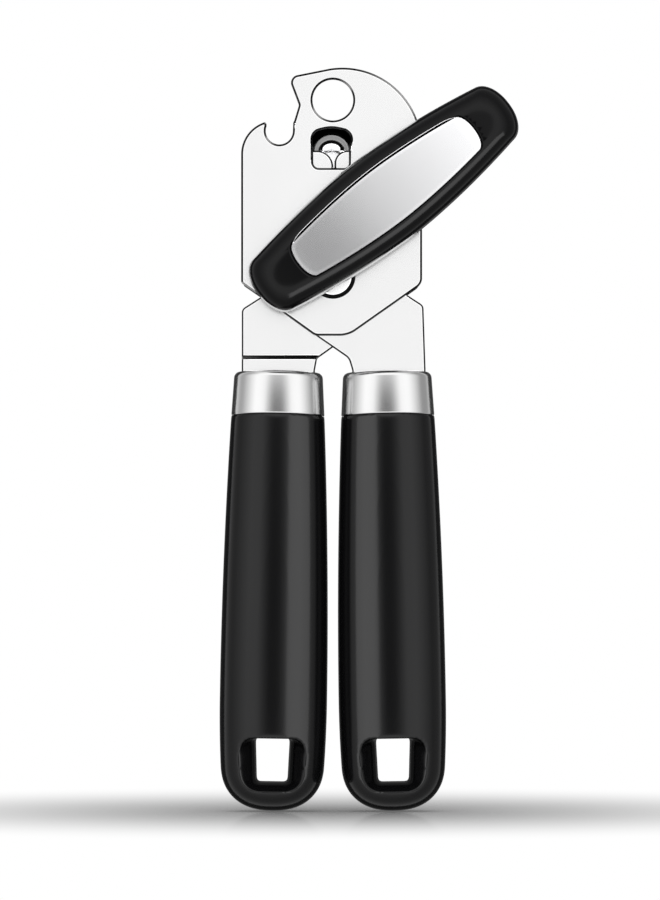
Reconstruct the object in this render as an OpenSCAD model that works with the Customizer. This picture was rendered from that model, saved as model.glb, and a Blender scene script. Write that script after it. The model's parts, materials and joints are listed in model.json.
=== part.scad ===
// Manual can opener: two stamped levers that cross at a rivet, a face plate with a
// bottle opener, a long turning knob that drives a toothed feed wheel, and a free
// cutter wheel on a stud. X is to the right, Y is to the back, Z is up. The origin is
// the centre of the hanging hole, on the front of the face plate.

/* [Plates] */
// Thickness of each stamped steel plate
plate_t = 1.6; // [1.4:0.1:1.8]
// Free space between neighbouring plates, which the pivot washers fill
plate_gap = 0.3; // [0.25:0.05:0.4]
// Distance of the face plate's left edge from the hanging hole
head_left = 25.7; // [25:0.1:26]
// Distance of the face plate's right edge from the hanging hole
head_right = 25; // [24.5:0.1:25.2]
// Radius of the round hanging hole in the face plate
hang_r = 5.7; // [5:0.1:5.9]
// Radius of the bottle opener's round throat
throat_r = 3.8; // [3.7:0.1:4]

/* [Pivot] */
// Radius of the rivet's shank that the levers turn on
pivot_r = 3; // [2.5:0.1:3.5]
// Radius of the rivet's round front head
pivot_head_r = 6.4; // [5.5:0.1:7]

/* [Wheels] */
// Outer radius of the cutter wheel
cutter_r = 11.5; // [11:0.1:11.6]
// Tip radius of the feed wheel's teeth
feed_r = 8.3; // [7.8:0.1:8.4]
// Number of teeth on the feed wheel
feed_teeth = 28; // [20:1:32]
// Radius of the knob's spindle
spindle_r = 2.5; // [2.2:0.1:2.8]

/* [Knob] */
// Length of the knob
knob_l = 88.2; // [84:0.2:90]
// Width of the knob at its middle
knob_w = 26.4; // [25:0.2:27]
// Angle of the knob at rest, up from the X axis
knob_angle = 37.7; // [0:0.1:90]
// Length of the steel inlay
inlay_l = 61.2; // [56:0.2:63]
// Width of the steel inlay at its middle
inlay_w = 16; // [14:0.1:17]

/* [Handles] */
// Length of the black grip below its ferrule
grip_l = 111.1; // [105:0.1:115]
// Width of the grip at its widest
grip_w = 30.1; // [28:0.1:31]
// Width of the grip where it meets the ferrule
grip_top_w = 26.1; // [25:0.1:27]
// Depth of the grip as a share of its width
grip_depth = 0.78; // [0.7:0.01:0.85]
// Height of the steel ferrule
ferrule_h = 12.2; // [10:0.1:13]
// Wall thickness of the ferrule
ferrule_t = 0.8; // [0.6:0.1:1]
// Outward lean of each grip
splay = 0.9; // [0:0.01:1.5]

/* [Hidden] */
$fn = 48;

steel = [0.86, 0.86, 0.87];
dark_steel = [0.62, 0.63, 0.65];
black = [0.09, 0.09, 0.09];

// Depths of the layers, from the face plate's front backwards
face_back = plate_t;
mid_front = face_back + plate_gap;
mid_back = mid_front + plate_t;
rear_front = mid_back + plate_gap;
rear_back = rear_front + plate_t;
handle_y = (mid_front + mid_back) / 2;

// Centres in the X-Z plane
pivot = [0, -49.3];
drive = [14.4, -28];
cutter = [-4.2, -21.8];
tie = [21.2, -18.8];
dome = [head_right - 22.3, -13.2];
throat = [-15, -8.6];
dome_r = 22.3;

running = 0.06;       // radial clearance of a turning fit
seat = 0.05;          // clearance round a piece that is held still
play = 0.03;          // end play of the levers between their washers
arc_step = 6;         // degrees between the points of an arc
joggle_z = -71.4;     // where the left lever steps forward to its grip
joggle_h = 1.15;      // height of that step
jaw_top = -14.1;      // top of both levers' jaws
tang_end = -150;      // lower end of the tangs, inside the grips
window = [-0.4, -13.9]; // centre of the cup's arch in the window

// Stack along the spindle
bush_front = -0.8;
hub_back = bush_front - 0.6;
knob_back = -12.6;
knob_front = -28.4;
bush_back = rear_back + 0.6;
feed_back = bush_back + 2.6;
feed_hub_back = feed_back + 1.2;
// Stack along the cutter's stud
step_back = rear_back + 0.5;
blade_front = step_back + 2.4;
blade_back = blade_front + 1.9;

ferrule_top = -75.9;
grip_top = ferrule_top - ferrule_h;
grip_x = 15.4;        // distance of a grip's axis from the middle, at its top

function unit(v) = v / norm(v);
function arc(c, r, from, to) =
    let (n = max(2, ceil(abs(to - from) / arc_step)))
    [for (i = [0:n]) c + r * [cos(from + (to - from) * i / n), sin(from + (to - from) * i / n)]];
// The fillet of radius r at corner b, between its neighbours a and c
function fillet(a, b, c, r) =
    let (u = unit(a - b), v = unit(c - b), half = acos(u * v) / 2,
         centre = b + unit(u + v) * r / sin(half),
         p = b + u * r / tan(half) - centre, q = b + v * r / tan(half) - centre,
         from = atan2(p.y, p.x), turn = atan2(p.x * q.y - p.y * q.x, p * q))
    arc(centre, r, from, from + turn);
// A closed outline from corners given as [x, z, radius]
function rounded(corners) =
    let (n = len(corners))
    [for (i = [0:n - 1])
        let (a = corners[(i + n - 1) % n], b = corners[i], c = corners[(i + 1) % n])
        each (b[2] > 0 ? fillet([a.x, a.y], [b.x, b.y], [c.x, c.y], b[2]) : [[b.x, b.y]])];
// Arc points as sharp corners, for use in a list of corners
function as_corners(points) = [for (p = points) [p.x, p.y, 0]];

// An X-Z outline with thickness, from depth y0 to depth y1
module slab(outline, y0, y1)
    translate([0, y1, 0]) rotate([90, 0, 0]) linear_extrude(y1 - y0) polygon(outline);
// A round bar along Y at an X-Z centre
module bar(c, r, y0, y1)
    translate([c.x, y0, c.y]) rotate([-90, 0, 0]) cylinder(r = r, h = y1 - y0);
// A turned piece along Y, from a profile of [radius, depth]
module turned(c, profile)
    translate([c.x, 0, c.y]) rotate([-90, 0, 0]) rotate_extrude() polygon(profile);
module ring(c, r, bore, y0, y1)
    difference() {
        bar(c, r, y0, y1);
        bar(c, bore, y0 - 1, y1 + 1);
    }

// ---- plates ----

face_outline = rounded(concat(
    [[-head_left, -51.2, 1.2], [-head_left, -9, 9.4], [-18.6, -5.9, 0.6]],
    as_corners(arc(throat, throat_r, 160, 360)),
    [[-11.1, -6.3, 0.3], [-10.8, -5.7, 0.3], [-9.5, -1.4, 1.2], [-12.5, 6.5, 2.2]],
    as_corners(arc(dome, dome_r, 100, 0)),
    [[head_right, -51.5, 3.2], [4.4, -66, 8], [-5, -66, 3]]));

window_outline = rounded([
    [-5.5, -19, 1.6], [-5.5, -13, 0.5], [-5.7, -12, 0.5], [-5.7, -8.9, 2.6], [-0.4, -7.7, 9],
    [5.1, -8.9, 2.6], [5.1, -11.4, 0.6], [4.5, -12.8, 0.6], [4.5, -19, 1.4]]);

// Pressed half cup welded behind the window's top, with a flat ledge and a raised boss; [radius, depth]
cup_wall = 0.7;
module window_cup()
    color(steel) translate([window.x, face_back, window.y]) rotate([-90, 0, 0]) rotate([0, 0, 180])
        rotate_extrude(angle = 180) polygon([
            [6.4, 0], [7.6, 0], [7.6, 0.5], [5.5, 3 + cup_wall], [3.2, 3 + cup_wall], [2.4, 1.9 + cup_wall],
            [1.4, 1.6 + cup_wall], [0, 1.5 + cup_wall], [0, 1.5], [1.6, 1.6], [2.6, 1.9], [3.3, 2.4],
            [3.7, 3], [4.6, 3]]);

module face_plate()
    color(steel) difference() {
        slab(face_outline, 0, face_back);
        bar([0, 0], hang_r, -1, face_back + 1);
        bar(pivot, pivot_r, -1, face_back + 1);
        bar(drive, 4.5, -1, face_back + 1);
        bar(tie, 1.6, -1, face_back + 1);
        slab(window_outline, -1, face_back + 1);
    }

right_lever_outline = rounded([
    [5.6, -81, 1], [5.4, -75.6, 3], [4.4, -72.3, 3], [-25, -52, 1], [-25, -40, 9], [-15.5, jaw_top, 5],
    [0.1, jaw_top, 4.5], [0.1, -41, 5], [25.4, -57.5, 1.8], [26, -75.6, 3], [25.9, -81, 1],
    [22.4, -83, 1.5], [22.4, tang_end, 4], [9.4, tang_end, 4], [9.4, -83, 1.5]]);

module right_lever()
    color(steel) difference() {
        slab(right_lever_outline, mid_front, mid_back);
        bar(pivot, pivot_r + running, 0, rear_back);
        turned(cutter, [[0, mid_front - 1], [3, mid_front - 1], [1.6, mid_front + 0.7], [1.6, mid_back + 1],
                        [0, mid_back + 1]]);
    }

left_lever_outline = rounded([
    [-5.2, -81, 1], [-5, -75.6, 3], [-4.4, -72.4, 1.5], [-0.2, -69.4, 3], [24.4, -52.2, 3],
    [24.4, jaw_top + 0.1, 5], [0.5, jaw_top + 0.1, 3.6], [0.5, -41.8, 5], [-25.55, -58.5, 1.8],
    [-25.55, -75.6, 3], [-25.45, -81, 1], [-22.4, -83, 1.5], [-22.4, tang_end, 4], [-9.4, tang_end, 4],
    [-9.4, -83, 1.5]]);

// The left lever's run from the rear layer forward to the layer of the grips
module joggle_run()
    translate([-40, 0, 0]) rotate([90, 0, 90]) linear_extrude(80) polygon([
        [rear_front, 0], [rear_back, 0], [rear_back, joggle_z - joggle_h],
        [mid_back, joggle_z - 2 * joggle_h], [mid_back, tang_end - 5], [mid_front, tang_end - 5],
        [mid_front, joggle_z - joggle_h], [rear_front, joggle_z]]);

module left_lever()
    color(steel) difference() {
        intersection() {
            slab(left_lever_outline, 0, rear_back + 2);
            joggle_run();
        }
        bar(pivot, pivot_r, 0, rear_back + 1);
        bar(drive, 4.5, 0, rear_back + 1);
        bar(tie, 1.6, 0, rear_back + 1);
    }

// ---- pivot and ties ----

module pivot_rivet()
    color(steel) turned(pivot, [
        [0, -1.5], [pivot_head_r - 1.4, -1.4], [pivot_head_r - 0.6, -1.1], [pivot_head_r - 0.1, -0.6],
        [pivot_head_r, 0], [pivot_r, 0],
        [pivot_r, rear_back], [5.4, rear_back], [5.4, rear_back + 0.5], [4.6, rear_back + 1],
        [2.4, rear_back + 1.2], [0, rear_back + 1.2]]);

module pivot_washer_front()
    color(dark_steel) ring(pivot, 6.2, pivot_r + running, face_back, mid_front - play);

module pivot_washer_rear()
    color(dark_steel) ring(pivot, 6.2, pivot_r + running, mid_back + play, rear_front);

module frame_rivet()
    color(steel) turned(tie, [
        [0, -0.9], [1.6, -0.8], [2.6, -0.4], [2.8, 0], [1.6, 0], [1.6, face_back], [3.2, face_back],
        [3.2, rear_front], [1.6, rear_front], [1.6, rear_back], [2.8, rear_back], [2.6, rear_back + 0.5],
        [1.4, rear_back + 0.9], [0, rear_back + 0.9]]);

// ---- drive ----

module spindle_bush()
    color(dark_steel) turned(drive, [
        [spindle_r + running, bush_front], [6, bush_front], [6, 0], [4.5, 0], [4.5, face_back],
        [6, face_back], [6, rear_front], [4.5, rear_front], [4.5, rear_back], [5.2, rear_back],
        [4.9, bush_back], [spindle_r + running, bush_back]]);

// Square that carries the turn at both ends of the spindle
module square_end(y0, y1, size)
    translate([drive.x, 0, drive.y]) rotate([0, -knob_angle, 0])
        translate([-size / 2, y0, -size / 2]) cube([size, y1 - y0, size]);

square = 3.4;
module spindle()
    color(dark_steel) union() {
        bar(drive, spindle_r, knob_back, bush_back);
        square_end(-23, feed_hub_back + 1.2, square);
    }

module spring_washer()
    color(dark_steel) ring(drive, 5.6, spindle_r + seat, hub_back, hub_back + 0.5);

module feed_wheel()
    color(dark_steel) difference() {
        union() {
            slab([for (i = [0:feed_teeth - 1], s = [0:3])
                    let (a = (i + [0, 0.2, 0.55, 0.75][s]) * 360 / feed_teeth,
                         r = feed_r - [0, 0, 1.1, 1.1][s])
                    drive + r * [cos(a), sin(a)]], bush_back + 0.1, feed_back);
            turned(drive, [[0, feed_back], [5, feed_back], [4.6, feed_hub_back], [0, feed_hub_back]]);
        }
        square_end(0, 20, square + 2 * seat);
    }

module feed_washer()
    color(steel) difference() {
        bar(drive, 4, feed_hub_back, feed_hub_back + 0.6);
        square_end(0, 20, square + 2 * seat);
    }

// Headed-over end that holds the feed wheel on the spindle
module spindle_rivet_head()
    color(dark_steel) difference() {
        turned(drive, [[0, feed_hub_back + 0.6], [3.4, feed_hub_back + 0.6], [3.2, feed_hub_back + 1.2],
                       [2.2, feed_hub_back + 1.7], [0, feed_hub_back + 1.8]]);
        square_end(0, feed_hub_back + 1.2, square);
    }

// Half width of the knob's outline at distance u from its middle
side_fall = 0.00615;
side_power = 1.78;
cap_e = 4.8;
function cap(t, power = 2.2) = pow(max(0, 1 - pow(t, power)), 1 / power);
function half_width(u, l, w, e) =
    (w / 2 - side_fall * pow(abs(u), side_power)) * cap(max(0, (abs(u) - l / 2 + e) / e));
function stations(l, e) = concat(
    [for (f = [0:15:75]) l / 2 - e + e * cos(f)],
    [for (i = [0:8]) (l / 2 - e) * (1 - i / 4)],
    [for (f = [75:-15:0]) -l / 2 + e - e * cos(f)]);
// The knob's outline shrunk by an inset, as a ring of points
function lozenge(l, w, e, inset) =
    let (k = stations(l - 2 * inset, e), n = len(k))
    concat([for (i = [0:n - 1]) [k[i], half_width(k[i], l - 2 * inset, w - 2 * inset, e)]],
           [for (i = [n - 2:-1:1]) [k[i], -half_width(k[i], l - 2 * inset, w - 2 * inset, e)]]);

// A closed solid through rings that all have the same even number of points and mirror in X
module skin(rings) {
    m = len(rings);
    n = len(rings[0]);
    last = (m - 1) * n;
    polyhedron(
        points = [for (r = rings) each r],
        faces = concat(
            [for (i = [0:n / 2 - 2]) [i, i + 1, n - i - 1]],
            [for (i = [1:n / 2 - 1]) [i, n - i - 1, n - i]],
            [for (i = [0:n / 2 - 2]) [last + i, last + n - i - 1, last + i + 1]],
            [for (i = [1:n / 2 - 1]) [last + i, last + n - i, last + n - i - 1]],
            [for (j = [0:m - 2], i = [0:n - 1]) [j * n + i, (j + 1) * n + i, (j + 1) * n + (i + 1) % n]],
            [for (j = [0:m - 2], i = [0:n - 1])
                [j * n + i, (j + 1) * n + (i + 1) % n, j * n + (i + 1) % n]]));
}

// Fall of the knob's crowned front at distance u from its middle
function crown(u) = u * u / 900;
module knob_frame()
    translate([drive.x, 0, drive.y]) rotate([0, -knob_angle, 0]) rotate([90, 0, 0]) children();
// Shape that a shallow inlay fills in the knob's front; levels are [height above the seat, inset]
inlay_shift = 0.5;
inlay_t = 1.2;
module inlay_shape(l, w, e, levels)
    knob_frame() translate([0, 0, -knob_front - inlay_t]) skin([
        for (v = levels) [for (p = lozenge(l, w, e, v[1])) [p.x + inlay_shift, p.y, v[0] - crown(p.x)]]]);

// [height above the knob's back, inset of the outline, share of the crown]
knob_levels = [[0, 1.6, 0], [0.6, 0.7, 0], [1.8, 0.1, 0.1], [3.4, 0, 0.3], [9.5, 0.3, 0.7], [12, 1.1, 0.9],
               [13.9, 2.3, 1], [15.2, 4, 1], [15.8, 6.4, 1]];
module knob_body()
    color(black) difference() {
        union() {
            knob_frame() translate([0, 0, -knob_back]) skin([
                for (v = knob_levels)
                    [for (p = lozenge(knob_l, knob_w, cap_e, v[1])) [p.x, p.y, v[0] - v[2] * crown(p.x)]]]);
            turned(drive, [[0, hub_back], [7.4, hub_back], [8, hub_back - 0.6], [8.6, -7],
                           [10.4, knob_back + 1], [11, knob_back - 0.5], [0, knob_back - 0.5]]);
        }
        bar(drive, 5, knob_back - 5, hub_back + 1);
        square_end(-23, 0, square + 2 * seat);
        inlay_shape(inlay_l + 0.6, inlay_w + 0.6, 2.6, [[0, 0], [6, 0]]);
    }

// Metal sleeve pressed in the knob's hub round the spindle
module knob_insert()
    color(dark_steel) difference() {
        bar(drive, 5, knob_back - 5, hub_back);
        bar(drive, spindle_r + seat, knob_back, hub_back + 1);
        square_end(-23, knob_back, square + 2 * seat);
    }

module knob_inlay()
    color(steel) inlay_shape(inlay_l, inlay_w, 2.5, [[0, 0], [inlay_t - 0.3, 0], [inlay_t, 0.4]]);

// ---- cutter ----

journal = 2;
countersink_r = 1.6 + 1.4 * 0.7 / 1.7;
module cutter_stud()
    color(dark_steel) turned(cutter, [
        [0, mid_front], [countersink_r, mid_front], [1.6, mid_front + 0.7], [1.6, mid_back],
        [3, mid_back], [3, step_back],
        [journal, step_back], [journal, blade_back + 0.4], [4, blade_back + 0.4], [4, blade_back + 0.8],
        [3.2, blade_back + 1.3], [0, blade_back + 1.4]]);

module cutter_wheel()
    color(steel) turned(cutter, [
        [journal + running, step_back + 0.1], [6.5, step_back + 0.1], [6.5, blade_front], [9, blade_front],
        [cutter_r, blade_front + 1], [cutter_r, blade_front + 1.1], [10.4, blade_back],
        [journal + running, blade_back]]);

module cutter_washer()
    color(dark_steel) ring(cutter, 3.6, journal + running, blade_back + 0.1, blade_back + 0.4);

// ---- handles ----

// One oval ring of a handle: half width a at height z, with the handle's squarish oval section
section_n = 36;
square_ness = 2.3;
function oval(a, b, z) = [for (i = [0:section_n - 1])
    let (t = i * 360 / section_n, c = cos(t), s = sin(t))
    [a * sign(c) * pow(abs(c), 2 / square_ness), b * sign(s) * pow(abs(s), 2 / square_ness), z]];

// Half width of the grip at distance s below its top
cap_l = 12.6;
end_fall = 0.0015;    // narrowing below the widest place, times the squared distance
function grip_half(s) =
    let (widest = grip_w / 2, widest_s = 0.72 * grip_l,
         swell = sin(90 * pow(min(1, s / widest_s), 0.9)),
         fall = end_fall * pow(max(0, s - widest_s), 2),
         half = grip_top_w / 2 + (widest - grip_top_w / 2) * swell - fall)
    half * cap(max(0, (s - grip_l + cap_l) / cap_l), 2.4);

grip_stations = concat(
    [for (i = [0:7]) i * (grip_l - cap_l) / 7],
    [for (f = [15:15:75]) grip_l - cap_l + cap_l * sin(f)],
    [grip_l - 0.1]);
module grip_solid()
    skin([for (i = [len(grip_stations) - 1:-1:0])
        let (s = grip_stations[i], a = max(1.2, grip_half(s))) oval(a, a * grip_depth, -s)]);

// Slice of the hole near a grip's end: widths at its top and bottom, height of its lower edge,
// corner radii at the top and bottom, and its depth. Its upper edge stays level.
hole_s = 96.6;
hole_up = 6.1;
module hole_slice(top_w, low_w, low, top_r, low_r, y)
    translate([0, y, -hole_s]) rotate([90, 0, 0]) linear_extrude(0.1, center = true)
        polygon(rounded([[-low_w / 2, low, low_r], [low_w / 2, low, low_r],
                         [top_w / 2, hole_up, top_r], [-top_w / 2, hole_up, top_r]]));
module end_hole()
    for (side = [-1, 1]) {
        hull() {
            hole_slice(9.4, 8.5, -6.1, 0.3, 0.3, -side * 0.2);
            hole_slice(12, 11.2, -7, 1.5, 1.5, side * 6);
        }
        hull() {
            hole_slice(11.8, 11, -6.9, 1.5, 1.5, side * 5.8);
            hole_slice(20.6, 19.8, -9.4, 4.5, 5.6, side * 12);
        }
    }

// Places a piece of a handle on its leaning axis, right of the middle
module on_axis()
    translate([grip_x, handle_y, grip_top]) rotate([0, -splay, 0]) children();

// Neck inside the ferrule, and the slots that hold the lever's tang and its shoulder
neck_a = grip_top_w / 2 - ferrule_t - seat - 0.6;
neck_top_a = neck_a - 0.4;
slot_t = plate_t + 2 * seat;
module right_grip()
    color(black) difference() {
        on_axis() difference() {
            union() {
                grip_solid();
                skin([oval(neck_a, neck_a * grip_depth, -3),
                      oval(neck_top_a, neck_top_a * grip_depth, ferrule_h - 3)]);
            }
            end_hole();
        }
        translate([9.4 - seat, mid_front - seat, tang_end - 0.5]) cube([13 + 2 * seat, slot_t, 80]);
        translate([5.1, mid_front - seat, -83.2]) cube([21.1, slot_t, 10]);
    }
module left_grip() mirror([1, 0, 0]) right_grip();

// Ferrule: a drawn cup with a rounded top edge and a slot for the lever
function wall_a(h) = grip_top_w / 2 - 0.7 * h / ferrule_h;
module ferrule_cup(inset, top) skin([
    for (v = [[inset > 0 ? -1 : 0, 0], [top - 1.6, 0], [top - 0.8, 0.2], [top - 0.3, 0.6], [top, 1.6]])
        let (a = wall_a(v[0]) - inset - v[1]) oval(a, (wall_a(v[0])) * grip_depth - inset - v[1], v[0])]);
module right_ferrule()
    color(steel) difference() {
        on_axis() difference() {
            ferrule_cup(0, ferrule_h);
            ferrule_cup(ferrule_t, ferrule_h - ferrule_t);
        }
        translate([4.95, mid_front - seat, -83]) cube([21.25, slot_t, 12]);
    }
module left_ferrule() mirror([1, 0, 0]) right_ferrule();

face_plate();
window_cup();
left_lever();
right_lever();
pivot_rivet();
pivot_washer_front();
pivot_washer_rear();
frame_rivet();
spindle_bush();
spindle();
spring_washer();
feed_wheel();
feed_washer();
spindle_rivet_head();
knob_body();
knob_insert();
knob_inlay();
cutter_stud();
cutter_wheel();
cutter_washer();
left_ferrule();
right_ferrule();
left_grip();
right_grip();
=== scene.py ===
"""Manual can opener: stamped plates, turned steel, drawn ferrules and mouldings, built round the frame."""
import json
import math

import bmesh
import bpy
import numpy
from mathutils import Matrix, Quaternion, Vector
from mathutils.geometry import delaunay_2d_cdt

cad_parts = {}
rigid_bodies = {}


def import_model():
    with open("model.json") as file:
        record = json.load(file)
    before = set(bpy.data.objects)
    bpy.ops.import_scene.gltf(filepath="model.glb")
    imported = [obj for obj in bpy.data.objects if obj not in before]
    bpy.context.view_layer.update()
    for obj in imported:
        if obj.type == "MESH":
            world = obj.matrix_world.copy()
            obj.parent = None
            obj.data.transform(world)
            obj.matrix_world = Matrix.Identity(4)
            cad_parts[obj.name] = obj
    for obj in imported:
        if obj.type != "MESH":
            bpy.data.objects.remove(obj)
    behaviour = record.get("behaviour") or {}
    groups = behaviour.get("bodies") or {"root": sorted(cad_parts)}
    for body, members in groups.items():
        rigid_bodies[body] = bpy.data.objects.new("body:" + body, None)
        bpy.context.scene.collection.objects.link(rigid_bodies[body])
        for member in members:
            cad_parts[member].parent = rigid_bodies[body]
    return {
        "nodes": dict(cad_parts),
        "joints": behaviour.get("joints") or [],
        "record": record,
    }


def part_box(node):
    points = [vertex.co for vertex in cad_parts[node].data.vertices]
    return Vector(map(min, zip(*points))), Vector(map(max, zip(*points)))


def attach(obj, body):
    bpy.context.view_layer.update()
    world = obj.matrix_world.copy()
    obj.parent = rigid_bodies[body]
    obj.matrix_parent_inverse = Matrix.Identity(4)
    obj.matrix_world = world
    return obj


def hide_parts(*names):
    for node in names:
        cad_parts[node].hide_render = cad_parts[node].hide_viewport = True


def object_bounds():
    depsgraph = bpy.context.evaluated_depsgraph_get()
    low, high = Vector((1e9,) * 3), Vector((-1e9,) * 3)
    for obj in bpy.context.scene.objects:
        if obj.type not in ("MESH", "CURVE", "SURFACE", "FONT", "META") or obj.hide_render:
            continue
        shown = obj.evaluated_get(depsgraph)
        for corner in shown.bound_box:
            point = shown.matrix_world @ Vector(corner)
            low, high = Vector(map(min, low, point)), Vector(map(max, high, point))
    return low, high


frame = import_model()
CAD_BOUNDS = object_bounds()
MM = 0.001

JOINTS = {joint["name"]: joint for joint in frame["joints"]}
DRIVE = Vector(JOINTS["knob_spin"]["pos_m"])
PIVOT = Vector(JOINTS["handle_pivot"]["pos_m"])
CUTTER = Vector(JOINTS["cutter_spin"]["pos_m"])
TIE = (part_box("frame_rivet")[0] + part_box("frame_rivet")[1]) / 2

# Depths of the plates, from the face plate's front backwards
FACE_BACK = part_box("face_plate")[1].y
MID_FRONT, MID_BACK = (corner.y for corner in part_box("right_lever"))
REAR_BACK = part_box("left_lever")[1].y
REAR_FRONT = REAR_BACK - FACE_BACK


def angles(*span):
    """The angles of a range in degrees, in radians."""
    return [math.radians(degrees) for degrees in range(*span)]


# ---- nodes and materials ----

NOISE_LOW, NOISE_HIGH = 0.25, 0.75  # most of a noise texture's values lie between these
CLOUD_SCALE = 60.0                  # slow change of tone over a metal
GRAIN_DEPTH = 0.00002               # depth of a metal's grain, in metres
SPARK_SCALE = 4200.0                # spark-eroded grain of the mouldings
SPARK_DEPTH = 0.00001
SPARK_BUMP = 0.12                   # strength of that grain
SPARK_LIGHTER = 1.5                 # how much lighter the grain's high spots are
HANDLED_SCALE = 45.0                # patches of a moulding that shine more or less


def new_material(name, colour, metallic, roughness, specular=0.5):
    """A Principled material and its node tree, with the plain values set on the shader."""
    material = bpy.data.materials.new(name)
    material.use_nodes = True
    tree = material.node_tree
    shader = tree.nodes["Principled BSDF"]
    shader.inputs["Base Color"].default_value = (*colour, 1)
    shader.inputs["Metallic"].default_value = metallic
    shader.inputs["Roughness"].default_value = roughness
    shader.inputs["Specular IOR Level"].default_value = specular
    return material, tree, shader


def texture_space(tree, stretch):
    """Object coordinates scaled per axis, so that a grain can run along one direction."""
    coordinates = tree.nodes.new("ShaderNodeTexCoord")
    mapping = tree.nodes.new("ShaderNodeMapping")
    mapping.inputs["Scale"].default_value = stretch
    tree.links.new(coordinates.outputs["Object"], mapping.inputs["Vector"])
    return mapping.outputs["Vector"]


def noise(tree, vector, scale, detail=3.0, roughness=0.5):
    node = tree.nodes.new("ShaderNodeTexNoise")
    node.inputs["Scale"].default_value = scale
    node.inputs["Detail"].default_value = detail
    node.inputs["Roughness"].default_value = roughness
    tree.links.new(vector, node.inputs["Vector"])
    return node.outputs["Fac"]


def spread(tree, value, low, high):
    """A 0 to 1 value brought to the range from low to high."""
    node = tree.nodes.new("ShaderNodeMapRange")
    node.inputs["From Min"].default_value = NOISE_LOW
    node.inputs["From Max"].default_value = NOISE_HIGH
    node.inputs["To Min"].default_value = low
    node.inputs["To Max"].default_value = high
    tree.links.new(value, node.inputs["Value"])
    return node.outputs["Result"]


def tint(tree, value, dark, light):
    node = tree.nodes.new("ShaderNodeMix")
    node.data_type = "RGBA"
    node.inputs["A"].default_value = (*dark, 1)
    node.inputs["B"].default_value = (*light, 1)
    tree.links.new(value, node.inputs["Factor"])
    return node.outputs["Result"]


def bump(tree, shader, height, distance, strength):
    node = tree.nodes.new("ShaderNodeBump")
    node.inputs["Distance"].default_value = distance
    node.inputs["Strength"].default_value = strength
    tree.links.new(height, node.inputs["Height"])
    tree.links.new(node.outputs["Normal"], shader.inputs["Normal"])


def metal(name, dark, light, roughness, grain, grain_scale, scratch, glance=1.0):
    """Brushed or ground metal: a grain stretched along one axis, and a slow change of tone. The glance is how
    much it keeps of the light that grazes it."""
    material, tree, shader = new_material(name, light, 1.0, roughness[0])
    shader.inputs["Specular Tint"].default_value = (glance, glance, glance, 1)
    lines = noise(tree, texture_space(tree, grain), grain_scale, 4.0, 0.6)
    cloud = noise(tree, texture_space(tree, (1, 1, 1)), CLOUD_SCALE, 2.0)
    tree.links.new(spread(tree, lines, *roughness), shader.inputs["Roughness"])
    tree.links.new(tint(tree, cloud, dark, light), shader.inputs["Base Color"])
    bump(tree, shader, lines, GRAIN_DEPTH, scratch)
    return material


def moulded_plastic(name, colour, roughness, specular):
    """Satin black moulding: a fine spark-eroded grain and slightly uneven gloss."""
    material, tree, shader = new_material(name, colour, 0.0, roughness[0], specular)
    fine = noise(tree, texture_space(tree, (1, 1, 1)), SPARK_SCALE, 2.0)
    handled = noise(tree, texture_space(tree, (1, 1, 0.4)), HANDLED_SCALE, 3.0)
    tree.links.new(spread(tree, handled, *roughness), shader.inputs["Roughness"])
    lighter = tuple(SPARK_LIGHTER * c for c in colour)
    tree.links.new(tint(tree, fine, colour, lighter), shader.inputs["Base Color"])
    bump(tree, shader, fine, SPARK_DEPTH, SPARK_BUMP)
    return material


def grey(level):
    return (level, level, level)


EVEN = (1, 1, 1)
# Dark and light tone, lowest and highest roughness, stretch, scale and strength of the grain, and glance
METALS = {
    "plate_steel": (grey(0.90), grey(0.95), (0.12, 0.16), (1, 1, 26), 900, 0.02),
    "plate_edge": (grey(0.50), grey(0.58), (0.14, 0.20), EVEN, 1500, 0.08),
    # shear_band: near-black steel, painted shade on the plates' steep edges, in the bend and round the rivet
    # head
    "shear_band": (grey(0.008), grey(0.016), (0.25, 0.35), EVEN, 1500, 0.1, 0.8),
    "rivet_steel": (grey(0.82), grey(0.90), (0.20, 0.28), EVEN, 1500, 0.10),
    "shadowed_steel": (grey(0.001), grey(0.002), (0.25, 0.35), EVEN, 1500, 0.1, 0.0),
    "bearing_steel": ((0.50, 0.50, 0.51), (0.60, 0.60, 0.61), (0.25, 0.36), EVEN, 1800, 0.2),
    "gear_steel": ((0.42, 0.42, 0.43), (0.54, 0.54, 0.55), (0.32, 0.45), EVEN, 2200, 0.35),
    "blade_steel": ((0.80, 0.80, 0.81), (0.88, 0.88, 0.89), (0.12, 0.2), EVEN, 1200, 0.1),
    # flange_steel: the window cup's ledge, painted mid-grey as shade in its recess
    "flange_steel": (grey(0.19), grey(0.23), (0.25, 0.35), EVEN, 1800, 0.1),
    "inlay_steel": ((0.84, 0.84, 0.85), (0.87, 0.87, 0.88), (0.17, 0.20), (30, 1, 1), 700, 0.03),
    "ferrule_steel": (grey(0.64), grey(0.70), (0.17, 0.23), (1, 1, 40), 700, 0.06),
    "brass": ((0.62, 0.46, 0.22), (0.74, 0.58, 0.32), (0.25, 0.35), EVEN, 1500, 0.15),
}
# Colour, lowest and highest roughness, and specular level
PLASTICS = {
    "black_plastic": ((0.0022, 0.0022, 0.0024), (0.14, 0.18), 0.3),
    "knob_plastic": ((0.0015, 0.0015, 0.0017), (0.14, 0.18), 0.18),
}
MATERIALS = {name: metal(name, *values) for name, values in METALS.items()}
MATERIALS.update({name: moulded_plastic(name, *values) for name, values in PLASTICS.items()})


# ---- mesh helpers ----

def piece(name, mesh, slot, body, *replaced):
    """Puts a mesh in the scene as a piece that rides on a body and stands for CAD nodes."""
    obj = bpy.data.objects.new(name, mesh)
    bpy.context.scene.collection.objects.link(obj)
    if not mesh.materials:
        mesh.materials.append(MATERIALS[slot])
    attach(obj, body)
    if replaced:
        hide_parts(*replaced)
    return obj


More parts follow.
